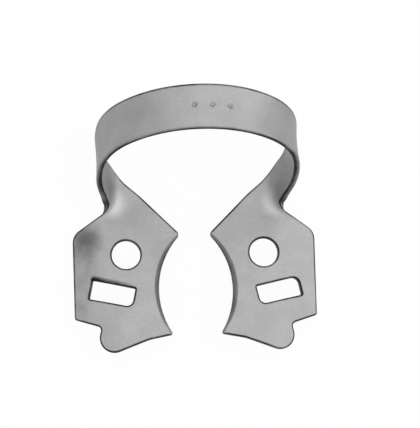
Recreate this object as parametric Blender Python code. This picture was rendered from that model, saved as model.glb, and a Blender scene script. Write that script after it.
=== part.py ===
"""Rubber dam clamp: one steel sheet, punched flat and then formed.

The blank is drawn flat, as it is punched: X runs along the strip that becomes the bow, Y across it
towards the distal side, and Z is the sheet's thickness, with the bow's outer face at +Z. The
forming steps then bend it: each neck, each wing, and last the bow. Metres, +Z up at the end.
"""
import math

import bmesh
import bpy
from mathutils import Matrix, Vector

MM = 0.001

# Sheet
THICKNESS = 0.65 * MM
EDGE_ROUND = 0.1 * MM

# Bow, bent from a straight strip: a crown, two tighter shoulders and two legs that turn in
BOW_WIDTH = 5.3 * MM
CROWN_RADIUS = 11.6 * MM
CROWN_ANGLE = math.radians(43.0)
SHOULDER_RADIUS = 8.65 * MM
SHOULDER_ANGLE = math.radians(38.2)
LEG_RADIUS = 16.8 * MM
LEG_ANGLE = math.radians(25.7)
LEG_STRAIGHT = 2.3 * MM
BOW_LEAN = math.radians(17.0)
BOW_FLARE = 0.16 * MM

# Neck bends, where the legs turn in to become the jaws
NECK_RADIUS = 2.2 * MM
NECK_ABOVE_NOTCH = 0.45 * MM

# Wing bends, which drop the outer parts of the jaws
WING_RADIUS = 5.0 * MM
WING_DROP = math.radians(15.0)
WING_FROM_NOTCH = 0.1 * MM

# Notch between the leg and the wing, from which the jaw's other sizes are measured
NOTCH_ROUND = 0.45 * MM
DART_HALF_WIDTH = 0.9 * MM

# Bends run out over the sheet around them, little at the notch and more away from it
SOFT_SHARE = 0.6
SOFT_MOST = 2.6 * MM
SOFT_UP_LEG = 5.0 * MM

# Distal flank of each jaw, which curls up past the line from the notch to the distal tip
FLANK_RISE = 0.35 * MM
FLANK_WIDTH = 2.7 * MM
FLANK_UP_LEG = 3.5 * MM

# Jaw outline in the flat blank, as (along, across, corner radius) from the notch
NECK_TOP = (-4.3 * MM, BOW_WIDTH, 4.0 * MM)
NECK_EDGE = (2.9 * MM, 2.5 * MM, 12.0 * MM)
DISTAL_TIP = (8.37 * MM, -0.92 * MM, 0.3 * MM)
MESIAL_TIP = (10.0 * MM, -12.3 * MM, 0.18 * MM)
MESIAL_WAIST = (7.5 * MM, -13.4 * MM, 3.0 * MM)
TAB_CORNER = (2.0 * MM, -17.0 * MM, 1.65 * MM)
TAB_NOTCH = (2.0 * MM, -13.05 * MM, 0.45 * MM)
WING_FOOT = (-1.15 * MM, -12.75 * MM, 0.35 * MM)
WING_SHOULDER = (-3.25 * MM, -3.5 * MM, 1.6 * MM)

# Curve of the jaw that meets the tooth, ground so that its lower edge stands forward
TOOTH_RADIUS = 9.0 * MM
TOOTH_CENTRE = (16.28 * MM, -5.74 * MM)
TOOTH_BEVEL = 0.45 * MM

# Forceps hole and slot of each jaw
HOLE_DIAMETER = 3.2 * MM
HOLE_CENTRE = (3.1 * MM, -4.54 * MM)
SLOT_LENGTH = 4.85 * MM
SLOT_WIDTH = 2.1 * MM
SLOT_CENTRE = (2.45 * MM, -9.12 * MM)
SLOT_SMALL_ROUND = 0.15 * MM
SLOT_TOOTH_ROUND = 0.7 * MM
SLOT_OUTER_ROUND = {-1: 0.15 * MM, 1: 0.8 * MM}

# Fineness of the facets
ARC_STEP = math.radians(4.0)
CORNER_STEP = math.radians(18.0)
FLAT_STEP = 0.65 * MM
SOFT_STEP = 0.8 * MM
EDGE_MATCH = 0.02 * MM
ROUND_SEGMENTS = 2


# Lengths and directions that follow from the sizes above
ARCS = ((CROWN_RADIUS, CROWN_ANGLE), (SHOULDER_RADIUS, SHOULDER_ANGLE), (LEG_RADIUS, LEG_ANGLE))
ARC_LENGTH = sum(radius * angle for radius, angle in ARCS)
LEG_TURN = sum(angle for _, angle in ARCS)
NOTCH = Vector((ARC_LENGTH + LEG_STRAIGHT, -BOW_WIDTH / 2))

BOW_UP = Vector((0, math.sin(BOW_LEAN), math.cos(BOW_LEAN)))
BOW_ACROSS = Vector((0, math.cos(BOW_LEAN), -math.sin(BOW_LEAN)))
LEG_ALONG = math.cos(LEG_TURN) * Vector((1, 0, 0)) - math.sin(LEG_TURN) * BOW_UP
LEG_OUT = math.sin(LEG_TURN) * Vector((1, 0, 0)) + math.cos(LEG_TURN) * BOW_UP
JAW_UP = Vector((0, 0, 1))

# The neck's bend line is where the planes of the leg and of the jaw cross
NECK_ANGLE = LEG_OUT.angle(-JAW_UP)
CROSSING = LEG_OUT.cross(-JAW_UP).normalized()
CROSSING *= math.copysign(1, CROSSING.dot(BOW_ACROSS))
LINE = Vector((CROSSING.dot(LEG_ALONG), CROSSING.dot(BOW_ACROSS)))
TO_JAW = Vector((LINE.y, -LINE.x))
NECK_START = NOTCH - NECK_ABOVE_NOTCH * TO_JAW
NECK_LENGTH = NECK_RADIUS * NECK_ANGLE

# The dart spreads the difference between leg and wing over the corner behind the notch
WING_EDGE = Vector(WING_SHOULDER[:2]).normalized()
DART_OUT = (WING_EDGE + Vector((-1, 0))).normalized()
DART_UP = Vector((DART_OUT.y, -DART_OUT.x))
FLANK_LINE = Vector(DISTAL_TIP[:2]).normalized()
FLANK_UP = Vector((-FLANK_LINE.y, FLANK_LINE.x))


# Flat blank
def from_notch(size):
    return Vector((NOTCH.x + size[0], NOTCH.y + size[1]))


def rounded(corners):
    """Points of a closed outline whose corners (point, radius) are replaced by arcs."""
    points = []
    for i, (corner, radius) in enumerate(corners):
        before = (corners[i - 1][0] - corner).normalized()
        after = (corners[(i + 1) % len(corners)][0] - corner).normalized()
        half = before.angle(after) / 2
        turn = math.pi - 2 * half
        if radius == 0 or turn < 0.01:
            points.append(corner)
            continue
        centre = corner + (before + after).normalized() * radius / math.sin(half)
        start = corner + before * radius / math.tan(half) - centre
        side = math.copysign(1, before.x * after.y - before.y * after.x)
        steps = max(2, math.ceil(turn / CORNER_STEP))
        for k in range(steps + 1):
            angle = -side * turn * k / steps
            points.append(centre + Matrix.Rotation(angle, 2) @ start)
    return points


def tooth_curve():
    """Corners along the concave edge, from the distal tip to the mesial one, tips left out."""
    centre = from_notch(TOOTH_CENTRE)
    top, low = from_notch(DISTAL_TIP) - centre, from_notch(MESIAL_TIP) - centre
    first = math.atan2(top.y, top.x) % math.tau
    last = math.atan2(low.y, low.x) % math.tau
    steps = math.ceil((last - first) / ARC_STEP)
    curve = []
    for k in range(1, steps):
        angle = first + (last - first) * k / steps
        curve.append((centre + TOOTH_RADIUS * Vector((math.cos(angle), math.sin(angle))), 0))
    return curve


def half_outline():
    """Right half of the blank, from the bow's distal edge round the jaw to its mesial edge."""
    corners = [(Vector((0, BOW_WIDTH / 2)), 0)]
    corners += [(from_notch(c), c[2]) for c in (NECK_TOP, NECK_EDGE, DISTAL_TIP)]
    corners += tooth_curve()
    for c in (MESIAL_TIP, MESIAL_WAIST, TAB_CORNER, TAB_NOTCH, WING_FOOT, WING_SHOULDER):
        corners.append((from_notch(c), c[2]))
    corners.append((NOTCH, NOTCH_ROUND))
    corners.append((Vector((0, -BOW_WIDTH / 2)), 0))
    return rounded(corners)


def hole_outline():
    centre = from_notch(HOLE_CENTRE)
    count = 32
    ring = [Vector((math.cos(math.tau * k / count), math.sin(math.tau * k / count))) for k in range(count)]
    return [centre + HOLE_DIAMETER / 2 * point for point in ring]


def slot_outline(side):
    centre = from_notch(SLOT_CENTRE)
    x, y = SLOT_LENGTH / 2, SLOT_WIDTH / 2
    rounds = (SLOT_SMALL_ROUND, SLOT_OUTER_ROUND[side], SLOT_SMALL_ROUND, SLOT_TOOTH_ROUND)
    places = ((x, y), (-x, y), (-x, -y), (x, -y))
    return rounded([(centre + Vector(place), radius) for place, radius in zip(places, rounds)])


def add_loop(bm, points):
    verts = [bm.verts.new((point.x, point.y, 0)) for point in points]
    return [bm.edges.new((verts[i - 1], verts[i])) for i in range(len(verts))]


def cut(bm, point, direction, keep):
    """Cuts the flat sheet along a line, in the faces whose centre passes the test."""
    faces = [face for face in bm.faces if keep(face.calc_center_median())]
    edges = {edge for face in faces for edge in face.edges}
    verts = {vert for face in faces for vert in face.verts}
    normal = Vector((-direction.y, direction.x, 0))
    geom = faces + list(edges) + list(verts)
    bmesh.ops.bisect_plane(bm, geom=geom, dist=1e-7, plane_co=point.to_3d(), plane_no=normal)


def blank():
    """Flat sheet with its outline, holes and slots, cut along the lines where it will bend."""
    bm = bmesh.new()
    half = half_outline()
    whole = half[1:-1] + [Vector((-point.x, point.y)) for point in reversed(half[1:-1])]
    edges = add_loop(bm, whole)
    for side in (-1, 1):
        for outline in (hole_outline(), slot_outline(side)):
            edges += add_loop(bm, [Vector((side * point.x, point.y)) for point in outline])
    bmesh.ops.triangle_fill(bm, use_beauty=True, use_dissolve=False, edges=edges)
    cut_bow(bm)
    for side in (-1, 1):
        cut_neck(bm, side)
    return bm


def cut_bow(bm):
    """Lines across the strip, at equal angles in each arc, and lines along it for the flare."""
    def on_strip(centre):
        return abs(centre.x) < NOTCH.x and centre.y > -BOW_WIDTH / 2 - EDGE_ROUND

    start = 0.0
    for radius, angle in ARCS:
        steps = math.ceil(angle / ARC_STEP)
        for k in range(steps):
            for side in (-1, 1):
                place = Vector((side * (start + radius * angle * k / steps), 0))
                cut(bm, place, Vector((0, 1)), on_strip)
        start += radius * angle
    for share in (-0.5, 0.0, 0.5):
        cut(bm, Vector((0, share * BOW_WIDTH)), Vector((1, 0)), on_strip)


def cut_neck(bm, side):
    """Lines along and across the neck's bend, and along the wing's bend."""
    def near_neck(centre):
        place = Vector((side * centre.x, centre.y)) - NOTCH
        inside = -NECK_ABOVE_NOTCH - FLAT_STEP < place.dot(TO_JAW) < NECK_LENGTH
        return side * centre.x > ARC_LENGTH / 2 and inside and abs(place.dot(LINE)) < BOW_WIDTH * 1.5

    def on_wing(centre):
        place = Vector((side * centre.x, centre.y)) - NOTCH
        return side * centre.x > ARC_LENGTH / 2 and place.dot(LINE) < 0 and place.dot(TO_JAW) < NECK_LENGTH

    def mirrored(vector):
        return Vector((side * vector.x, vector.y))

    count = math.ceil(NECK_LENGTH / FLAT_STEP * 1.5)
    for k in range(count + 1):
        point = NECK_START + TO_JAW * NECK_LENGTH * k / count
        cut(bm, mirrored(point), mirrored(LINE), near_neck)
    reach = math.ceil(BOW_WIDTH / FLAT_STEP)
    for k in range(-reach // 2, reach):
        cut(bm, mirrored(NOTCH + LINE * k * FLAT_STEP), mirrored(TO_JAW), near_neck)
    for k in range(4):
        point = NOTCH - TO_JAW * (WING_FROM_NOTCH + WING_RADIUS * WING_DROP * k / 3)
        cut(bm, mirrored(point), mirrored(LINE), on_wing)

    def on_soft_jaw(centre):
        place = Vector((side * centre.x, centre.y)) - NOTCH
        bent = place.dot(TO_JAW) < NECK_LENGTH or place.dot(FLANK_UP) > 0
        return side * centre.x > ARC_LENGTH / 2 and place.y < BOW_WIDTH and bent and place.x > -BOW_WIDTH

    for k in range(-7, 13):
        cut(bm, mirrored(NOTCH + TO_JAW * k * SOFT_STEP), mirrored(LINE), on_soft_jaw)
    for k in range(-24, 8):
        cut(bm, mirrored(NOTCH + LINE * (k + 0.5) * SOFT_STEP), mirrored(TO_JAW), on_soft_jaw)


# Thickness, ground tooth edges and rounded rims, still flat
def thicken(bm):
    bmesh.ops.recalc_face_normals(bm, faces=bm.faces)
    for vert in bm.verts:
        vert.co.z = -THICKNESS / 2
    sheet = bmesh.ops.extrude_face_region(bm, geom=bm.faces[:])
    raised = [item for item in sheet["geom"] if isinstance(item, bmesh.types.BMVert)]
    bmesh.ops.translate(bm, verts=raised, vec=(0, 0, THICKNESS))
    bmesh.ops.recalc_face_normals(bm, faces=bm.faces)


def grind_tooth_edges(bm):
    """The jaws' upper face, which is the blank's lower one, is cut back along the tooth curve."""
    centre = from_notch(TOOTH_CENTRE)
    top, low = from_notch(DISTAL_TIP).y, from_notch(MESIAL_TIP).y
    for vert in bm.verts:
        side = math.copysign(1, vert.co.x)
        arm = Vector((side * vert.co.x, vert.co.y)) - centre
        along = (vert.co.y - low) / (top - low)
        if vert.co.z > 0 or abs(arm.length - TOOTH_RADIUS) > EDGE_MATCH or not 0 < along < 1:
            continue
        depth = TOOTH_BEVEL * math.sin(math.pi * along) ** 0.6
        move = arm.normalized() * depth
        vert.co.x += side * move.x
        vert.co.y += move.y


def round_rims(bm):
    rims = [edge for edge in bm.edges if edge.calc_face_angle(0) > math.radians(30)
            and any(abs(face.normal.z) > 0.999 for face in edge.link_faces)
            and abs(edge.verts[0].co.z - edge.verts[1].co.z) < THICKNESS / 2]
    bmesh.ops.bevel(bm, geom=rims, affect="EDGES", offset_type="OFFSET", offset=EDGE_ROUND,
                    segments=ROUND_SEGMENTS, profile=0.5, clamp_overlap=True, material=-1)


# Forming
def bow_point(along, across, out):
    """Place on the arched bow of a point of the strip; past the arcs the leg runs on straight."""
    flare = BOW_FLARE * ((2 * across / BOW_WIDTH) ** 2 - 0.5)
    middle = CROWN_RADIUS * CROWN_ANGLE + SHOULDER_RADIUS * SHOULDER_ANGLE / 2
    out += flare * math.exp(-((abs(along) - middle) / (1.6 * BOW_WIDTH)) ** 2)
    x = height = turned = start = 0.0
    for radius, angle in ARCS:
        swept = min(max(along - start, 0.0) / radius, angle)
        x += radius * (math.sin(turned + swept) - math.sin(turned))
        height += radius * (math.cos(turned + swept) - math.cos(turned))
        turned += swept
        start += radius * angle
    spare = max(along - start, 0.0)
    x += spare * math.cos(turned) + out * math.sin(turned)
    height += out * math.cos(turned) - spare * math.sin(turned)
    return Vector((x, 0, 0)) + height * BOW_UP + across * BOW_ACROSS


def neck_point(along, across, out):
    """Place of a point of the leg or neck: bent towards the bow's inner side, then arched."""
    place = Vector((along, across)) - NECK_START
    reach = place.dot(TO_JAW)
    if reach > 0:
        swept = min(reach / NECK_RADIUS, NECK_ANGLE)
        spare = max(reach - NECK_LENGTH, 0.0)
        bent = (NECK_RADIUS + out) * math.sin(swept) + spare * math.cos(NECK_ANGLE)
        out = (NECK_RADIUS + out) * math.cos(swept) - NECK_RADIUS - spare * math.sin(NECK_ANGLE)
        place += (bent - reach) * TO_JAW
    place += NECK_START
    return bow_point(place.x, place.y, out)


def jaw_frame():
    """Point of the jaw's plane at the end of the neck's bend, with its directions along the blank."""
    end = NECK_START + TO_JAW * NECK_LENGTH
    origin = neck_point(end.x, end.y, 0.0)
    across = CROSSING
    along = JAW_UP.cross(across)
    along *= math.copysign(1, -along.x)
    return end, origin, along, across


JAW_END, JAW_ORIGIN, JAW_ALONG, JAW_ACROSS = jaw_frame()


def jaw_point(along, across, out):
    """Place of a point of the jaw, with the wing bent down past its own line."""
    place = Vector((along, across)) - JAW_END
    reach, sideways = place.dot(TO_JAW), place.dot(LINE)
    up = -out
    past = (NOTCH - JAW_END).dot(TO_JAW) - WING_FROM_NOTCH - reach
    if past > 0:
        swept = min(past / WING_RADIUS, WING_DROP)
        spare = max(past - WING_RADIUS * WING_DROP, 0.0)
        reach += past - (WING_RADIUS + up) * math.sin(swept) - spare * math.cos(WING_DROP)
        up = (WING_RADIUS + up) * math.cos(swept) - WING_RADIUS - spare * math.sin(WING_DROP)
    return JAW_ORIGIN + reach * JAW_ALONG + sideways * JAW_ACROSS + up * JAW_UP


def leg_share(along, across):
    """1 on the leg, 0 on the jaw and its wing, and between them in the dart behind the notch."""
    place = Vector((along, across))
    if (place - NECK_START).dot(TO_JAW) >= NECK_LENGTH:
        return 0.0
    beside = (place - NOTCH).dot(DART_UP)
    share = min(max(0.5 + beside / DART_HALF_WIDTH / 2, 0.0), 1.0)
    return share * share * (3 - 2 * share)


def eased(share):
    share = min(max(share, 0.0), 1.0)
    return share * share * (3 - 2 * share)


def flank_rise(along, across):
    place = Vector((along, across)) - NOTCH
    past = max(place.dot(FLANK_UP), 0.0) / FLANK_WIDTH
    rise = past * past if past < 1 else 2 * past - 1
    return FLANK_RISE * rise * eased(1 + place.x / FLANK_UP_LEG)


def sharp_point(along, across, out):
    """Place of a point with every bend made about its own line."""
    out -= flank_rise(along, across)
    share = leg_share(along, across)
    return share * neck_point(along, across, out) + (1 - share) * jaw_point(along, across, out)


def formed_point(along, across, out):
    """Place of a point where the bends run out over the sheet around it, as press tools leave it.

    It is the mean of the places around the point, which leaves flat and straight parts alone.
    """
    away = (Vector((along, across)) - NOTCH).length
    reach = min(SOFT_SHARE * away, SOFT_MOST) * eased((along - NOTCH.x + SOFT_UP_LEG) / SOFT_UP_LEG)
    if reach < EDGE_MATCH:
        return sharp_point(along, across, out)
    middle = skin = Vector()
    for ring, count in ((0.45, 6), (0.85, 10)):
        for k in range(count):
            angle = math.tau * (k + ring) / count
            x, y = along + ring * reach * math.cos(angle), across + ring * reach * math.sin(angle)
            middle = middle + sharp_point(x, y, 0.0)
            skin = skin + sharp_point(x, y, math.copysign(THICKNESS, out))
    return middle / 16 + (skin - middle).normalized() * abs(out)


def form(bm):
    for vert in bm.verts:
        side = math.copysign(1, vert.co.x)
        flat = (abs(vert.co.x), vert.co.y, vert.co.z)
        if flat[0] < ARC_LENGTH / 2 and flat[1] > -BOW_WIDTH / 2 - THICKNESS:
            place = bow_point(*flat)
        else:
            place = formed_point(*flat)
        vert.co = (side * place.x, place.y, place.z)


def lay_down(bm):
    """Turns the clamp about X to how it rests unheld, then sets the origin under its middle.

    The sheet is equally thick, so its centre of mass is the mean of its faces by area. The clamp
    comes to rest when the lowest points before and behind that centre are level.
    """
    for _ in range(12):
        area = sum(face.calc_area() for face in bm.faces)
        middle = sum((face.calc_area() * face.calc_center_median() for face in bm.faces), Vector()) / area
        mesial = min((vert.co for vert in bm.verts if vert.co.y < middle.y), key=lambda co: co.z)
        distal = min((vert.co for vert in bm.verts if vert.co.y > middle.y), key=lambda co: co.z)
        angle = math.atan2(distal.z - mesial.z, distal.y - mesial.y)
        bmesh.ops.rotate(bm, verts=bm.verts, cent=middle, matrix=Matrix.Rotation(-angle, 3, "X"))
    low = Vector([min(vert.co[axis] for vert in bm.verts) for axis in range(3)])
    high = Vector([max(vert.co[axis] for vert in bm.verts) for axis in range(3)])
    move = Vector((-(low.x + high.x) / 2, -(low.y + high.y) / 2, -low.z))
    bmesh.ops.translate(bm, verts=bm.verts, vec=move)


def clamp_material():
    material = bpy.data.materials.new("stainless_steel")
    material.use_nodes = True
    shader = material.node_tree.nodes["Principled BSDF"]
    shader.inputs["Base Color"].default_value = (0.5, 0.5, 0.5, 1)
    shader.inputs["Metallic"].default_value = 1.0
    shader.inputs["Roughness"].default_value = 0.42
    return material


def build():
    for obj in list(bpy.data.objects):
        bpy.data.objects.remove(obj)
    bm = blank()
    thicken(bm)
    grind_tooth_edges(bm)
    round_rims(bm)
    form(bm)
    lay_down(bm)
    bmesh.ops.triangulate(bm, faces=bm.faces)
    bmesh.ops.recalc_face_normals(bm, faces=bm.faces)
    mesh = bpy.data.meshes.new("clamp")
    bm.to_mesh(mesh)
    bm.free()
    mesh.materials.append(clamp_material())
    mesh.shade_smooth()
    mesh.set_sharp_from_angle(angle=math.radians(35))
    clamp = bpy.data.objects.new("clamp", mesh)
    bpy.context.scene.collection.objects.link(clamp)


build()
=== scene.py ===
"""Rubber dam clamp, dressed for its picture. All lengths are in metres, +Z up."""

import math

import bmesh
import bpy
from mathutils import Matrix, Vector


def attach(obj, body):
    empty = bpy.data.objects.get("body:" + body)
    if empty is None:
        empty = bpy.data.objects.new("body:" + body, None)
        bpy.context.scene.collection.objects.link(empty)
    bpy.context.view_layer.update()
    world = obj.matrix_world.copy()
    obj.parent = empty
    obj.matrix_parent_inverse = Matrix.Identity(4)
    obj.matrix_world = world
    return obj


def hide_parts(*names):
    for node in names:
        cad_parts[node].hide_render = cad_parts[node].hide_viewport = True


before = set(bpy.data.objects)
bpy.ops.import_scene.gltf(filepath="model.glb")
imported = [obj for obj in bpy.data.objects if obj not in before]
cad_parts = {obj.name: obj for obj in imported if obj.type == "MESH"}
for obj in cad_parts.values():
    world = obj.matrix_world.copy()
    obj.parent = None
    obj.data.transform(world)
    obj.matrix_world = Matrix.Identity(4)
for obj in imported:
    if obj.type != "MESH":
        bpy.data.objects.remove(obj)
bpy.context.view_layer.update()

# The blank
# The clamp is one piece of spring stainless sheet, 0.65 mm thick, punched to its outline while flat.
# X runs along the strip that becomes the bow, Y across it towards the distal side, and Z through the
# sheet, with the bow's outer face at +Z. Corners are (along, across, radius) from the jaw's notch.
MM = 0.001
THICKNESS = 0.65 * MM
BOW_WIDTH = 5.3 * MM
BOW_ARCS = (
    (11.6 * MM, math.radians(43.0)),
    (8.65 * MM, math.radians(38.2)),
    (16.8 * MM, math.radians(25.7)),
)
BOW_ARC_LENGTH = sum(radius * angle for radius, angle in BOW_ARCS)
LEG_STRAIGHT = 2.3 * MM
NOTCH = Vector((BOW_ARC_LENGTH + LEG_STRAIGHT, -BOW_WIDTH / 2))
NOTCH_ROUND = 0.45 * MM

NECK_TOP = (-4.3 * MM, BOW_WIDTH, 4.0 * MM)
NECK_EDGE = (2.9 * MM, 2.5 * MM, 12.0 * MM)
DISTAL_TIP = (8.37 * MM, -0.92 * MM, 0.3 * MM)
MESIAL_TIP = (10.0 * MM, -12.3 * MM, 0.26 * MM)
MESIAL_WAIST = (7.5 * MM, -13.4 * MM, 3.0 * MM)
TAB_CORNER = (2.0 * MM, -17.0 * MM, 1.65 * MM)
TAB_NOTCH = (2.0 * MM, -13.05 * MM, 0.45 * MM)
WING_FOOT = (-1.15 * MM, -12.75 * MM, 0.35 * MM)
WING_SHOULDER = (-3.25 * MM, -3.5 * MM, 1.6 * MM)
TOOTH_RADIUS = 9.0 * MM
TOOTH_CENTRE = (16.28 * MM, -5.74 * MM)
TOOTH_STEPS = 40
ARC_STEP = math.radians(9.0)
LEAST_TURN = 0.01


def on_blank(size):
    """Place on the blank's right half of a point given from the notch."""
    return Vector((NOTCH.x + size[0], NOTCH.y + size[1]))


def rounded(corners):
    """Points of a closed outline whose corners (point, radius) are replaced by arcs."""
    points = []
    for i, (corner, radius) in enumerate(corners):
        before = (corners[i - 1][0] - corner).normalized()
        after = (corners[(i + 1) % len(corners)][0] - corner).normalized()
        half = before.angle(after) / 2
        turn = math.pi - 2 * half
        if radius == 0 or turn < LEAST_TURN:
            points.append(corner)
            continue
        centre = corner + (before + after).normalized() * radius / math.sin(half)
        start = corner + before * radius / math.tan(half) - centre
        side = math.copysign(1, before.x * after.y - before.y * after.x)
        steps = max(3, math.ceil(turn / ARC_STEP))
        for k in range(steps + 1):
            points.append(centre + Matrix.Rotation(-side * turn * k / steps, 2) @ start)
    return points


def tooth_curve():
    """Corners along the concave edge, from the distal tip to the mesial one, tips left out."""
    centre = on_blank(TOOTH_CENTRE)
    top, low = on_blank(DISTAL_TIP) - centre, on_blank(MESIAL_TIP) - centre
    first = math.atan2(top.y, top.x) % math.tau
    last = math.atan2(low.y, low.x) % math.tau
    curve = []
    for k in range(1, TOOTH_STEPS):
        angle = first + (last - first) * k / TOOTH_STEPS
        curve.append((centre + TOOTH_RADIUS * Vector((math.cos(angle), math.sin(angle))), 0))
    return curve


right_half = [(Vector((0, BOW_WIDTH / 2)), 0)]
right_half += [(on_blank(c), c[2]) for c in (NECK_TOP, NECK_EDGE, DISTAL_TIP)]
right_half += tooth_curve()
right_half += [(on_blank(c), c[2]) for c in (MESIAL_TIP, MESIAL_WAIST, TAB_CORNER)]
right_half += [(on_blank(c), c[2]) for c in (TAB_NOTCH, WING_FOOT, WING_SHOULDER)]
right_half += [(NOTCH, NOTCH_ROUND), (Vector((0, -BOW_WIDTH / 2)), 0)]
right_half = rounded(right_half)[1:-1]
outline = right_half + [Vector((-point.x, point.y)) for point in reversed(right_half)]

# Holes and slots
# Each jaw has a round hole that the forceps' tip enters, and a slot across the wing's bend, so
# that the wing folds without pulling the jaw. Both are punched in the flat with the outline. The
# right slot has two widely rounded corners, and the left one has one.
HOLE_DIAMETER = 3.2 * MM
HOLE_CENTRE = (3.1 * MM, -4.54 * MM)
HOLE_STEPS = 64
SLOT_LENGTH = 4.85 * MM
SLOT_WIDTH = 2.1 * MM
SLOT_CENTRE = (2.45 * MM, -9.12 * MM)
SLOT_ROUNDS = {
    -1: (0.15 * MM, 0.15 * MM, 0.15 * MM, 0.7 * MM),
    1: (0.15 * MM, 0.8 * MM, 0.15 * MM, 0.7 * MM),
}


def forceps_hole():
    centre = on_blank(HOLE_CENTRE)
    angles = [math.tau * k / HOLE_STEPS for k in range(HOLE_STEPS)]
    return [centre + HOLE_DIAMETER / 2 * Vector((math.cos(a), math.sin(a))) for a in angles]


def wing_slot(side):
    centre = on_blank(SLOT_CENTRE)
    x, y = SLOT_LENGTH / 2, SLOT_WIDTH / 2
    corners = zip(((x, y), (-x, y), (-x, -y), (x, -y)), SLOT_ROUNDS[side])
    return rounded([(centre + Vector(place), radius) for place, radius in corners])


def add_loop(points):
    verts = [sheet.verts.new((point.x, point.y, 0)) for point in points]
    return [sheet.edges.new((verts[i - 1], verts[i])) for i in range(len(verts))]


sheet = bmesh.new()
punched = add_loop(outline)
for side in (-1, 1):
    for opening in (forceps_hole(), wing_slot(side)):
        punched += add_loop([Vector((side * point.x, point.y)) for point in opening])
bmesh.ops.triangle_fill(sheet, use_beauty=True, use_dissolve=False, edges=punched)

# Tumbled rims
# After punching, the clamps are tumbled, which takes the burr off and leaves every rim round.
# Each step sets the sheet's face in a little and raises it, and the second face is its mirror.
# A vertex layer holds how dark the steel is drawn, from 0 on an open face to 1 on a sheared wall:
# partly the duller sheared steel, partly painted shade for the dark outline of walls and rims.
RIM_RADIUS = 0.15 * MM
RIM_STEPS = 3
RIM_BAND = 0.1 * MM
RIM_SHADE = 0.6

wall_tone_and_painted_shading = sheet.verts.layers.float.new("wall_tone_and_painted_shading")
face = sheet.faces[:]
for vert in sheet.verts:
    vert.co.z = THICKNESS / 2 - RIM_RADIUS
    vert[wall_tone_and_painted_shading] = 1.0
for k in range(RIM_STEPS):
    before, after = (math.pi / 2 * step / RIM_STEPS for step in (k, k + 1))
    inset = RIM_RADIUS * (math.cos(before) - math.cos(after))
    bmesh.ops.inset_region(sheet, faces=face, thickness=inset, use_boundary=True, use_even_offset=True)
    for vert in {vert for part in face for vert in part.verts}:
        vert.co.z = THICKNESS / 2 - RIM_RADIUS * (1 - math.sin(after))
        # Each rim step is drawn darker towards the sheared edge: painted shade for the rim's dark outline.
        vert[wall_tone_and_painted_shading] = 1 - (1 - RIM_SHADE) * (k + 1) / RIM_STEPS
bmesh.ops.inset_region(sheet, faces=face, thickness=RIM_BAND, use_boundary=True, use_even_offset=True)
for vert in {vert for part in face for vert in part.verts}:
    vert[wall_tone_and_painted_shading] = 0.0
second = bmesh.ops.extrude_face_region(sheet, geom=sheet.faces[:])
for item in second["geom"]:
    if isinstance(item, bmesh.types.BMVert):
        item.co.z = -item.co.z
bmesh.ops.recalc_face_normals(sheet, faces=sheet.faces)

# Where the sheet will bend
# A leaning bow, a slanting neck bend at each end of it and a wing bend outside each jaw. The
# neck's line is where the planes of the leg and of the jaw cross, so that the jaws come out level.
# The sheet is cut into a fine grid here, and along each bend, so that it bends smoothly.
BOW_LEAN = math.radians(17.0)
BOW_FLARE = 0.16 * MM
NECK_RADIUS = 2.2 * MM
NECK_ABOVE_NOTCH = 0.45 * MM
WING_RADIUS = 5.0 * MM
WING_DROP = math.radians(15.0)
WING_FROM_NOTCH = 0.1 * MM
DART_HALF_WIDTH = 0.9 * MM
SOFT_SHARE = 0.6
SOFT_MOST = 2.6 * MM
SOFT_UP_LEG = 5.0 * MM
FLANK_RISE = 0.35 * MM
FLANK_WIDTH = 2.7 * MM
FLANK_UP_LEG = 3.5 * MM
GRID = 0.42 * MM
GRID_ROWS = range(-49, 7)
JAW_REACH = 10.2 * MM
SAME_PLACE = 1e-8
BEND_MARGIN = 0.4 * MM
NECK_MARGIN = 1.2 * MM
NECK_HALF_WIDTH = 8 * MM
NECK_STEPS = 16
NECK_STRIP = 0.25 * MM
NECK_STRIPS = range(-14, 24)
WING_BEND_REACH = 2.2 * MM
WING_STEPS = 6

bow_up = Vector((0, math.sin(BOW_LEAN), math.cos(BOW_LEAN)))
bow_across = Vector((0, math.cos(BOW_LEAN), -math.sin(BOW_LEAN)))
leg_turn = sum(angle for _, angle in BOW_ARCS)
leg_along = math.cos(leg_turn) * Vector((1, 0, 0)) - math.sin(leg_turn) * bow_up
leg_out = math.sin(leg_turn) * Vector((1, 0, 0)) + math.cos(leg_turn) * bow_up
jaw_up = Vector((0, 0, 1))
neck_angle = leg_out.angle(-jaw_up)
crossing = leg_out.cross(-jaw_up).normalized()
crossing *= math.copysign(1, crossing.dot(bow_across))
bend_line = Vector((crossing.dot(leg_along), crossing.dot(bow_across)))
to_jaw = Vector((bend_line.y, -bend_line.x))
neck_start = NOTCH - NECK_ABOVE_NOTCH * to_jaw
neck_length = NECK_RADIUS * neck_angle
wing_edge = Vector(WING_SHOULDER[:2]).normalized()
dart_out = (wing_edge + Vector((-1, 0))).normalized()
dart_up = Vector((dart_out.y, -dart_out.x))


def cut(place, along, keep=None):
    """Cuts the sheet along a line, in the faces whose centre passes the test."""
    faces = [part for part in sheet.faces if keep is None or keep(part.calc_center_median())]
    edges = {edge for part in faces for edge in part.edges}
    verts = {vert for part in faces for vert in part.verts}
    normal = Vector((-along.y, along.x, 0))
    geom = [*faces, *edges, *verts]
    bmesh.ops.bisect_plane(sheet, geom=geom, dist=SAME_PLACE, plane_co=place.to_3d(), plane_no=normal)


def near_neck(centre):
    place = Vector((abs(centre.x), centre.y)) - NOTCH
    in_bend = -NECK_MARGIN < place.dot(to_jaw) < neck_length + BEND_MARGIN
    return in_bend and abs(place.dot(bend_line)) < NECK_HALF_WIDTH


def near_wing_bend(centre):
    place = Vector((abs(centre.x), centre.y)) - NOTCH
    return -WING_BEND_REACH < place.dot(to_jaw) < BEND_MARGIN and place.dot(bend_line) < 0


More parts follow.
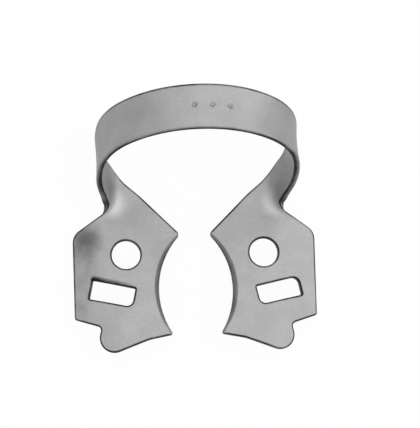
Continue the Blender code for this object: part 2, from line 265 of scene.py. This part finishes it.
reach = math.ceil((NOTCH.x + JAW_REACH) / GRID)
for k in range(-reach, reach + 1):
    cut(Vector((k * GRID, 0)), Vector((0, 1)))
for k in GRID_ROWS:
    cut(Vector((0, (k + 0.5) * GRID)), Vector((1, 0)))
for side in (-1, 1):
    def across_sheet(vector):
        return Vector((side * vector.x, vector.y))

    def this_neck(centre):
        return side * centre.x > 0 and near_neck(centre)

    def this_wing_bend(centre):
        return side * centre.x > 0 and near_wing_bend(centre)

    for k in range(NECK_STEPS + 1):
        place = neck_start + to_jaw * neck_length * k / NECK_STEPS
        cut(across_sheet(place), across_sheet(bend_line), this_neck)
    for k in NECK_STRIPS:
        cut(across_sheet(NOTCH + bend_line * k * NECK_STRIP), across_sheet(to_jaw), this_neck)
    for k in range(WING_STEPS + 1):
        place = NOTCH - to_jaw * (WING_FROM_NOTCH + WING_RADIUS * WING_DROP * k / WING_STEPS)
        cut(across_sheet(place), across_sheet(bend_line), this_wing_bend)

# Painted light and shade on the edges
# The bow's outer front rim carries a painted highlight, and the rim behind it painted shade. The
# painted shade on the sheared walls is deepest at the crown and fades towards the legs, and the
# upper half of the bow's front wall is drawn paler.
FRONT_RIM_HIGHLIGHT = 0.25
BACK_RIM_SHADE = 0.45
BACK_RIM_SHADE_WIDTH = RIM_RADIUS + 1.1 * RIM_BAND
WALL_HALF_HEIGHT = THICKNESS / 2 - 0.99 * RIM_RADIUS
WALL_SHADE_AT_LEGS = 0.5
WALL_SHADE_POWER = 4
BOW_WALL_SHADE = 0.38

for vert in sheet.verts:
    along = abs(vert.co.x) / BOW_ARC_LENGTH
    outer = along < 1 and vert.co.z > 0
    if abs(vert.co.z) < WALL_HALF_HEIGHT:
        vert[wall_tone_and_painted_shading] = 1 - (1 - WALL_SHADE_AT_LEGS) * min(along, 1.0) ** WALL_SHADE_POWER
        if outer and vert.co.y < 0:
            vert[wall_tone_and_painted_shading] *= BOW_WALL_SHADE
    elif outer and vert.co.y < 0:
        vert[wall_tone_and_painted_shading] *= FRONT_RIM_HIGHLIGHT
    elif outer and vert.co.y > BOW_WIDTH / 2 - BACK_RIM_SHADE_WIDTH:
        vert[wall_tone_and_painted_shading] = max(vert[wall_tone_and_painted_shading], BACK_RIM_SHADE)

# Ground tooth edges
# The concave edges that grip the tooth are ground from the jaw's upper face, so that the lower
# edge stands forward as a thin lip. The jaw's upper face is the blank's lower one.
TOOTH_GRIND = 0.45 * MM
GRIND_FADE = 1.6 * MM
GRIND_POWER = 0.6
GROUND_TONE = 0.36

centre = on_blank(TOOTH_CENTRE)
top_tip, low_tip = on_blank(DISTAL_TIP).y, on_blank(MESIAL_TIP).y
for vert in sheet.verts:
    side = math.copysign(1, vert.co.x)
    arm = Vector((abs(vert.co.x), vert.co.y)) - centre
    down = (vert.co.y - low_tip) / (top_tip - low_tip)
    inside = (arm.length - TOOTH_RADIUS) / GRIND_FADE
    on_edge = -0.1 < inside < 1 and 0 < down < 1 and abs(vert.co.x) >= BOW_ARC_LENGTH
    if vert.co.z > 0 or not on_edge:
        continue
    depth = TOOTH_GRIND * math.sin(math.pi * down) ** GRIND_POWER * (1 - max(inside, 0.0))
    move = arm.normalized() * depth
    vert.co.x += side * move.x
    vert.co.y += move.y
    vert[wall_tone_and_painted_shading] *= GROUND_TONE

# Punched dimples
# A plain row of three shallow round dimples sits on top of the bow, as a set-up punch leaves them
# in the flat sheet. A ring of painted shade darkens the slope of each, halfway from its middle to its edge.
DIMPLE_RADIUS = 0.42 * MM
DIMPLE_DEPTH = 0.15 * MM
DIMPLE_POWER = 1.5
DIMPLE_SHADE = 0.3
DIMPLE_SPACING = 1.9 * MM
DIMPLE_MIDDLE = Vector((1.0 * MM, 0.1 * MM))
DIMPLE_STEPS = 5

dimples = [DIMPLE_MIDDLE + Vector((k * DIMPLE_SPACING, 0)) for k in (-1, 0, 1)]
for dimple in dimples:
    def near_dimple(centre):
        return (centre.xy - dimple).length < 1.3 * DIMPLE_RADIUS and centre.z > 0

    for k in range(-DIMPLE_STEPS, DIMPLE_STEPS + 1):
        offset = k * DIMPLE_RADIUS / DIMPLE_STEPS
        cut(dimple + Vector((offset, 0)), Vector((0, 1)), near_dimple)
        cut(dimple + Vector((0, offset)), Vector((1, 0)), near_dimple)
for vert in sheet.verts:
    for dimple in dimples:
        out = (vert.co.xy - dimple).length / DIMPLE_RADIUS
        if vert.co.z > 0 and out < 1:
            vert.co.z -= DIMPLE_DEPTH * (1 - out * out) ** DIMPLE_POWER
            vert[wall_tone_and_painted_shading] = DIMPLE_SHADE * (1 - abs(2 * out - 1))

# Drawn slot edge
# The punch of the left slot drew the sheet down along the slot's distal side, most at the outer
# corner. Painted shade darkens the drawn-down slope along that edge.
DRAWN_EDGE = 0.6 * MM
DRAWN_DEPTH = 0.38 * MM
DRAWN_SHADE_POWER = 0.7
DRAWN_PAST_CORNER = 0.1
DRAWN_STEPS = 5
DRAWN_HALF_LENGTH = 3.2 * MM

slot_edge = on_blank(SLOT_CENTRE) + Vector((0, SLOT_WIDTH / 2))


def near_slot_edge(centre):
    beside = abs(abs(centre.x) - slot_edge.x)
    return centre.x < 0 and beside < DRAWN_HALF_LENGTH and abs(centre.y - slot_edge.y) < 2 * DRAWN_EDGE


for k in range(1, DRAWN_STEPS + 2):
    cut(slot_edge + Vector((0, DRAWN_EDGE * k / DRAWN_STEPS)), Vector((1, 0)), near_slot_edge)
for vert in sheet.verts:
    along = (abs(vert.co.x) - slot_edge.x) / SLOT_LENGTH + 0.5
    above = (vert.co.y - slot_edge.y) / DRAWN_EDGE
    if vert.co.x < 0 and vert.co.z < 0 and -DRAWN_PAST_CORNER < along < 1 and -0.01 < above < 1:
        taper = (1 - max(along, 0.0)) ** 0.5 * min(1.0, (along + DRAWN_PAST_CORNER) / DRAWN_PAST_CORNER)
        vert.co.z += DRAWN_DEPTH * taper * (1 - above) ** 2
        vert[wall_tone_and_painted_shading] = max(vert[wall_tone_and_painted_shading], taper * (1 - above) ** DRAWN_SHADE_POWER)

# Painted shade on the left wing, painted highlights on the necks
# The left wing is drawn darker than the rest, most in a round patch at its top: painted shade. Both
# necks carry a painted highlight beside the notch, where the layer falls below 0.
WING_SHADE = 0.2
WING_SHADE_START = 1.6 * MM
WING_SHADE_FADE = 2.4 * MM
SHADE_PATCH_MIDDLE = (-1.7 * MM, -3.9 * MM)
SHADE_PATCH_RADIUS = 2.6 * MM
SHADE_PATCH_TONE = 0.2
NECK_HIGHLIGHT_FROM_NOTCH = 0.5 * MM
NECK_HIGHLIGHT_INTO_BEND = 0.22
NECK_HIGHLIGHT_RADIUS = 2.0 * MM

shade_patch_middle = on_blank(SHADE_PATCH_MIDDLE)
neck_highlight_middle = NOTCH + NECK_HIGHLIGHT_INTO_BEND * neck_length * to_jaw + NECK_HIGHLIGHT_FROM_NOTCH * bend_line
for vert in sheet.verts:
    if vert.co.z >= 0:
        continue
    place = Vector((abs(vert.co.x), vert.co.y))
    if vert.co.x < 0 and place.y < NOTCH.y:
        wing_shading = min(max((NOTCH.x + WING_SHADE_START - place.x) / WING_SHADE_FADE, 0.0), 1.0)
        wing_shading *= min((NOTCH.y - place.y) / WING_SHADE_FADE, 1.0)
        shade_patch = max(1 - ((place - shade_patch_middle).length / SHADE_PATCH_RADIUS) ** 2, 0.0) ** 2
        # Painted shade on the left wing, strongest in the round patch.
        vert[wall_tone_and_painted_shading] = max(vert[wall_tone_and_painted_shading], WING_SHADE * wing_shading + SHADE_PATCH_TONE * shade_patch)
    # Painted highlight on each neck beside the notch, pushing the layer below 0.
    from_neck_highlight = (place - neck_highlight_middle).length / NECK_HIGHLIGHT_RADIUS
    if vert[wall_tone_and_painted_shading] < RIM_SHADE and from_neck_highlight < 1:
        vert[wall_tone_and_painted_shading] -= (1 - from_neck_highlight * from_neck_highlight) ** 2

# Bending
# The sheet is bent by three pairs of tools: first the wings drop, then the necks fold inwards,
# and last the strip is rolled to its arch, with a crown, two tighter shoulders and two legs.
FLARE_MIDDLE = BOW_ARCS[0][0] * BOW_ARCS[0][1] + BOW_ARCS[1][0] * BOW_ARCS[1][1] / 2
FLARE_LENGTH = 1.6 * BOW_WIDTH
LEAST_SOFTNESS = 0.01 * MM
SOFT_RINGS = ((0.45, 6), (0.85, 10))
SOFT_POINTS = sum(count for _, count in SOFT_RINGS)


def on_bow(along, across, out):
    """Place on the arched bow of a point of the strip; past the arcs the leg runs on straight."""
    flare = BOW_FLARE * ((2 * across / BOW_WIDTH) ** 2 - 0.5)
    out += flare * math.exp(-((abs(along) - FLARE_MIDDLE) / FLARE_LENGTH) ** 2)
    x = height = turned = start = 0.0
    for radius, angle in BOW_ARCS:
        swept = min(max(along - start, 0.0) / radius, angle)
        x += radius * (math.sin(turned + swept) - math.sin(turned))
        height += radius * (math.cos(turned + swept) - math.cos(turned))
        turned += swept
        start += radius * angle
    spare = max(along - start, 0.0)
    x += spare * math.cos(turned) + out * math.sin(turned)
    height += out * math.cos(turned) - spare * math.sin(turned)
    return Vector((x, 0, 0)) + height * bow_up + across * bow_across


def on_neck(along, across, out):
    """Place of a point of the leg or neck: bent towards the bow's inner side, then arched."""
    place = Vector((along, across)) - neck_start
    past = place.dot(to_jaw)
    if past > 0:
        swept = min(past / NECK_RADIUS, neck_angle)
        spare = max(past - neck_length, 0.0)
        bent = (NECK_RADIUS + out) * math.sin(swept) + spare * math.cos(neck_angle)
        out = (NECK_RADIUS + out) * math.cos(swept) - NECK_RADIUS - spare * math.sin(neck_angle)
        place += (bent - past) * to_jaw
    place += neck_start
    return on_bow(place.x, place.y, out)


jaw_end = neck_start + to_jaw * neck_length
jaw_origin = on_neck(jaw_end.x, jaw_end.y, 0.0)
jaw_along = jaw_up.cross(crossing)
jaw_along *= math.copysign(1, -jaw_along.x)


def on_jaw(along, across, out):
    """Place of a point of the jaw, with the wing bent down past its own line."""
    place = Vector((along, across)) - jaw_end
    inwards, sideways = place.dot(to_jaw), place.dot(bend_line)
    up = -out
    past = (NOTCH - jaw_end).dot(to_jaw) - WING_FROM_NOTCH - inwards
    if past > 0:
        swept = min(past / WING_RADIUS, WING_DROP)
        spare = max(past - WING_RADIUS * WING_DROP, 0.0)
        inwards += past - (WING_RADIUS + up) * math.sin(swept) - spare * math.cos(WING_DROP)
        up = (WING_RADIUS + up) * math.cos(swept) - WING_RADIUS - spare * math.sin(WING_DROP)
    return jaw_origin + inwards * jaw_along + sideways * crossing + up * jaw_up


def eased(share):
    """A share that starts and ends gently, held between 0 and 1."""
    share = min(max(share, 0.0), 1.0)
    return share * share * (3 - 2 * share)


def leg_share(along, across):
    """1 on the leg, 0 on the jaw and its wing, and between them in the dart behind the notch."""
    place = Vector((along, across))
    if (place - neck_start).dot(to_jaw) >= neck_length:
        return 0.0
    beside = (place - NOTCH).dot(dart_up)
    return eased(0.5 + beside / DART_HALF_WIDTH / 2)


def flank_rise(along, across):
    """How far the jaw's distal flank curls up, past the line from the notch to the distal tip."""
    tip = Vector(DISTAL_TIP[:2]).normalized()
    place = Vector((along, across)) - NOTCH
    past = max(place.y * tip.x - place.x * tip.y, 0.0) / FLANK_WIDTH
    rise = past * past if past < 1 else 2 * past - 1
    return FLANK_RISE * rise * eased(1 + place.x / FLANK_UP_LEG)


def on_sheet(along, across, out):
    """Place of a point with every bend made about its own line."""
    out -= flank_rise(along, across)
    share = leg_share(along, across)
    return share * on_neck(along, across, out) + (1 - share) * on_jaw(along, across, out)


def softness(along, across):
    """How far around a point the sheet shares its bends: little at the notch, more away from it."""
    away = (Vector((along, across)) - NOTCH).length
    return min(SOFT_SHARE * away, SOFT_MOST) * eased((along - NOTCH.x + SOFT_UP_LEG) / SOFT_UP_LEG)


def on_soft_sheet(along, across, out):
    """Place of a point where the bends run out over the sheet around it, as press tools leave it."""
    reach = softness(along, across)
    if reach < LEAST_SOFTNESS:
        return on_sheet(along, across, out)
    middle = skin = Vector()
    for ring, count in SOFT_RINGS:
        for k in range(count):
            angle = math.tau * (k + ring) / count
            x, y = along + ring * reach * math.cos(angle), across + ring * reach * math.sin(angle)
            middle = middle + on_sheet(x, y, 0.0)
            skin = skin + on_sheet(x, y, math.copysign(THICKNESS, out))
    return middle / SOFT_POINTS + (skin - middle).normalized() * abs(out)


for vert in sheet.verts:
    side = math.copysign(1, vert.co.x)
    flat = (abs(vert.co.x), vert.co.y, vert.co.z)
    if flat[0] < BOW_ARC_LENGTH / 2 and flat[1] > -BOW_WIDTH / 2 - THICKNESS:
        formed = on_bow(*flat)
    else:
        formed = on_soft_sheet(*flat)
    vert.co = (side * formed.x, formed.y, formed.z)

# Lying on the table
# Unheld, the clamp lies on its wing shoulders and on the bottoms of its legs. The sheet is
# equally thick, so its weight acts at the middle of its faces, weighed by their area. Each round
# turns it on to the lowest points on both sides of that middle.
SETTLING_ROUNDS = 12

for _ in range(SETTLING_ROUNDS):
    area = sum(part.calc_area() for part in sheet.faces)
    weighed = (part.calc_area() * part.calc_center_median() for part in sheet.faces)
    middle = sum(weighed, Vector()) / area
    mesial = min((vert.co for vert in sheet.verts if vert.co.y < middle.y), key=lambda co: co.z)
    distal = min((vert.co for vert in sheet.verts if vert.co.y > middle.y), key=lambda co: co.z)
    angle = math.atan2(distal.z - mesial.z, distal.y - mesial.y)
    bmesh.ops.rotate(sheet, verts=sheet.verts, cent=middle, matrix=Matrix.Rotation(-angle, 3, "X"))
low = Vector([min(vert.co[axis] for vert in sheet.verts) for axis in range(3)])
high = Vector([max(vert.co[axis] for vert in sheet.verts) for axis in range(3)])
to_origin = (-(low.x + high.x) / 2, -(low.y + high.y) / 2, -low.z)
bmesh.ops.translate(sheet, verts=sheet.verts, vec=to_origin)
bmesh.ops.triangulate(sheet, faces=sheet.faces)
bmesh.ops.recalc_face_normals(sheet, faces=sheet.faces)
clamp_mesh = bpy.data.meshes.new("formed_clamp")
sheet.to_mesh(clamp_mesh)
sheet.free()
clamp_mesh.shade_smooth()
clamp = bpy.data.objects.new("formed_clamp", clamp_mesh)
bpy.context.scene.collection.objects.link(clamp)
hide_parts("clamp")
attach(clamp, "root")

# Blasted stainless steel
# Martensitic stainless sheet, hardened, tumbled and bead blasted: an even neutral grey with fine
# grain and soft, wide reflections. The punched walls are darker than the faces, partly as painted
# shade. Real blasting is finer than the picture can show, so its grain is drawn coarser here.
FACE_HEX = "#B9B9B9"
CLOUD_HEX = "#ABABAB"
NECK_HIGHLIGHT_HEX = "#D6D6D6"
WALL_AND_SHADE_HEX = "#343434"
GRAIN = 0.16 * MM
GRAIN_DEPTH = 0.03 * MM
CLOUDS = 2.6 * MM
SMOOTHEST, ROUGHEST = 0.36, 0.5


def linear(hex_colour):
    """The linear colour of an sRGB hex value."""
    parts = [int(hex_colour[i:i + 2], 16) / 255 for i in (1, 3, 5)]
    return [p / 12.92 if p <= 0.04045 else ((p + 0.055) / 1.055) ** 2.4 for p in parts] + [1.0]


def add_node(tree, kind, settings=(), **sockets):
    """Adds a node, with its own settings, and sets or links the sockets that are named."""
    node = tree.nodes.new(kind)
    for name, value in dict(settings).items():
        setattr(node, name, value)
    for name, value in sockets.items():
        numbered = name[0] == "i" and name[1:].isdigit()
        socket = node.inputs[int(name[1:]) if numbered else name.replace("_", " ")]
        if isinstance(value, bpy.types.NodeSocket):
            tree.links.new(value, socket)
        else:
            socket.default_value = value
    return node


steel = bpy.data.materials.new("blasted_stainless_steel")
steel.use_nodes = True
tree = steel.node_tree
shader = tree.nodes["Principled BSDF"]
place = add_node(tree, "ShaderNodeTexCoord").outputs["Object"]
grain = add_node(tree, "ShaderNodeTexNoise", Vector=place, Scale=1 / GRAIN, Detail=3.0, Roughness=0.6)
grain = grain.outputs["Fac"]
clouds = add_node(tree, "ShaderNodeTexNoise", Vector=place, Scale=1 / CLOUDS, Detail=4.0, Roughness=0.55)
clouds = clouds.outputs["Fac"]
mottle = add_node(tree, "ShaderNodeMath", {"operation": "ADD"}, i0=clouds, i1=grain)
cloud_share = add_node(tree, "ShaderNodeMapRange", Value=mottle.outputs[0], From_Min=0.75, From_Max=1.25)
# The layer darkens walls, rims and marks, partly as duller sheared steel and partly as painted shade.
wall = add_node(tree, "ShaderNodeAttribute", {"attribute_name": "wall_tone_and_painted_shading"})
patchy = add_node(tree, "ShaderNodeMapRange", Value=clouds, From_Min=0.35, From_Max=0.65,
                  To_Min=0.75, To_Max=1.25)
dark = add_node(tree, "ShaderNodeMath", {"operation": "MULTIPLY"}, i0=wall.outputs["Fac"],
                i1=patchy.outputs["Result"])
wall_and_shade_share = add_node(tree, "ShaderNodeMapRange", Value=dark.outputs[0], From_Min=0.1, From_Max=0.7)
face_tone = add_node(tree, "ShaderNodeMix", {"data_type": "RGBA"}, i0=cloud_share.outputs["Result"],
                     i6=linear(FACE_HEX), i7=linear(CLOUD_HEX))
# Where the layer falls below 0, a lighter grey is mixed in as a painted highlight on the necks.
neck_highlight_share = add_node(tree, "ShaderNodeMapRange", Value=wall.outputs["Fac"], From_Min=0.0, From_Max=-1.0)
face_tone = add_node(tree, "ShaderNodeMix", {"data_type": "RGBA"}, i0=neck_highlight_share.outputs["Result"],
                     i6=face_tone.outputs[2], i7=linear(NECK_HIGHLIGHT_HEX))
tone = add_node(tree, "ShaderNodeMix", {"data_type": "RGBA"}, i0=wall_and_shade_share.outputs["Result"],
                i6=face_tone.outputs[2], i7=linear(WALL_AND_SHADE_HEX))
rough = add_node(tree, "ShaderNodeMapRange", Value=grain, To_Min=SMOOTHEST, To_Max=ROUGHEST)
bump = add_node(tree, "ShaderNodeBump", Height=grain, Strength=0.45, Distance=GRAIN_DEPTH)
tree.links.new(tone.outputs[2], shader.inputs["Base Color"])
tree.links.new(rough.outputs["Result"], shader.inputs["Roughness"])
tree.links.new(bump.outputs["Normal"], shader.inputs["Normal"])
shader.inputs["Metallic"].default_value = 1.0
clamp_mesh.materials.append(steel)

# White paper
# The clamp lies on plain white paper. The camera sees it evenly lit, but for the clamp's faint
# shadow, and the steel mirrors it as the dull grey that it is in the shade of the clamp.
PAPER_HEX = "#FFFFFF"
PAPER_HALF_SIZE = 4.0
SEEN_SHARE = 0.95
MIRRORED_SHARE = 0.4
MIRRORED_LEVEL = 0.3

table_shape = bmesh.new()
bmesh.ops.create_grid(table_shape, x_segments=1, y_segments=1, size=PAPER_HALF_SIZE)
table_mesh = bpy.data.meshes.new("table")
table_shape.to_mesh(table_mesh)
table_shape.free()
table = bpy.data.objects.new("table", table_mesh)
bpy.context.scene.collection.objects.link(table)

paper = bpy.data.materials.new("white_paper")
paper.use_nodes = True
tree = paper.node_tree
tree.nodes.remove(tree.nodes["Principled BSDF"])
seen = add_node(tree, "ShaderNodeLightPath")
mirrored = add_node(tree, "ShaderNodeMath", {"operation": "MAXIMUM"}, i0=seen.outputs["Is Glossy Ray"],
                    i1=seen.outputs["Is Transmission Ray"])
mirrored = add_node(tree, "ShaderNodeMath", {"operation": "MULTIPLY"}, i0=mirrored.outputs[0],
                    i1=MIRRORED_SHARE)
shown = add_node(tree, "ShaderNodeMath", {"operation": "MULTIPLY"}, i0=seen.outputs["Is Camera Ray"],
                 i1=SEEN_SHARE)
share = add_node(tree, "ShaderNodeMath", {"operation": "MAXIMUM"}, i0=shown.outputs[0],
                 i1=mirrored.outputs[0])
matt = add_node(tree, "ShaderNodeBsdfDiffuse", Color=linear(PAPER_HEX))
level = add_node(tree, "ShaderNodeMapRange", Value=seen.outputs["Is Camera Ray"],
                 To_Min=MIRRORED_LEVEL)
white = add_node(tree, "ShaderNodeEmission", Color=linear(PAPER_HEX), Strength=level.outputs["Result"])
mixed = add_node(tree, "ShaderNodeMixShader", i0=share.outputs[0], i1=matt.outputs[0],
                 i2=white.outputs[0])
tree.links.new(mixed.outputs[0], tree.nodes["Material Output"].inputs["Surface"])
table_mesh.materials.append(paper)

# Studio light
# The room is bright all round and brightest on the right, and a soft box stands low behind the
# clamp on that side. Directions point from the clamp to the light.
GLOW_DIRECTION = (0.85, 0.37, 0.37)
DIMMEST, BRIGHTEST = 0.6, 1.1
SOFT_BOX_PLACE = Vector((0.42, 0.24, 0.14))
SOFT_BOX_SIZE = 0.3
SOFT_BOX_POWER = 0.07

world = bpy.data.worlds.new("studio")
bpy.context.scene.world = world
world.use_nodes = True
tree = world.node_tree
backdrop = tree.nodes["Background"]
aim = add_node(tree, "ShaderNodeTexCoord").outputs["Generated"]
towards = add_node(tree, "ShaderNodeVectorMath", {"operation": "DOT_PRODUCT"}, i0=aim,
                   i1=GLOW_DIRECTION)
glow = add_node(tree, "ShaderNodeMapRange", {"interpolation_type": "SMOOTHSTEP"},
                Value=towards.outputs["Value"], From_Min=-0.7, From_Max=0.6,
                To_Min=DIMMEST, To_Max=BRIGHTEST)
seen = add_node(tree, "ShaderNodeLightPath")
room = add_node(tree, "ShaderNodeMix", {"data_type": "FLOAT"}, i0=seen.outputs["Is Camera Ray"],
                i2=glow.outputs["Result"], i3=1.0)
backdrop.inputs["Color"].default_value = (1, 1, 1, 1)
tree.links.new(room.outputs[0], backdrop.inputs["Strength"])

lamp = bpy.data.lights.new("key_softbox", "AREA")
lamp.shape = "SQUARE"
lamp.size = SOFT_BOX_SIZE
lamp.energy = SOFT_BOX_POWER
soft_box = bpy.data.objects.new("key_softbox", lamp)
soft_box.location = SOFT_BOX_PLACE
soft_box.rotation_euler = (-SOFT_BOX_PLACE).to_track_quat("-Z", "Y").to_euler()
bpy.context.scene.collection.objects.link(soft_box)

# Camera
# It looks almost straight down from 260 mm. REST_TILT levels the jaws, which slope at rest, and the
# other three angles turn the level clamp to how it is seen. Pixels count from the upper left.
CAMERA_DISTANCE = 260 * MM
PIXELS_PER_MM = 8.9
PICTURE_WIDTH, PICTURE_HEIGHT = 420, 428
AIM_PIXEL = (193.81, 220.215)
AIM_ON_JAWS = Vector((0, -0.699 * MM, 0.555 * MM))
REST_TILT = math.radians(14.838)
CAMERA_SWING = math.radians(4.516)
CAMERA_TILT = math.radians(-10.82)
CAMERA_ROLL = math.radians(1.933)
SENSOR_WIDTH = 36.0

turn = Matrix.Rotation(CAMERA_ROLL, 3, "Z") @ Matrix.Rotation(CAMERA_TILT, 3, "X")
turn = turn @ Matrix.Rotation(CAMERA_SWING, 3, "Y") @ Matrix.Rotation(REST_TILT, 3, "X")
aim_point = Matrix.Rotation(-REST_TILT, 3, "X") @ AIM_ON_JAWS
view_from = Matrix.Translation(aim_point + CAMERA_DISTANCE * turn[2])
lens = bpy.data.cameras.new("camera")
lens.sensor_fit = "HORIZONTAL"
lens.sensor_width = SENSOR_WIDTH
lens.lens = PIXELS_PER_MM * (CAMERA_DISTANCE / MM) / PICTURE_WIDTH * SENSOR_WIDTH
lens.shift_x = (PICTURE_WIDTH / 2 - AIM_PIXEL[0]) / PICTURE_WIDTH
lens.shift_y = (AIM_PIXEL[1] - PICTURE_HEIGHT / 2) / PICTURE_WIDTH
lens.clip_start = 0.01
camera = bpy.data.objects.new("camera", lens)
camera.matrix_world = view_from @ turn.transposed().to_4x4()
bpy.context.scene.collection.objects.link(camera)
bpy.context.scene.camera = camera
bpy.context.scene.view_settings.view_transform = "Standard"
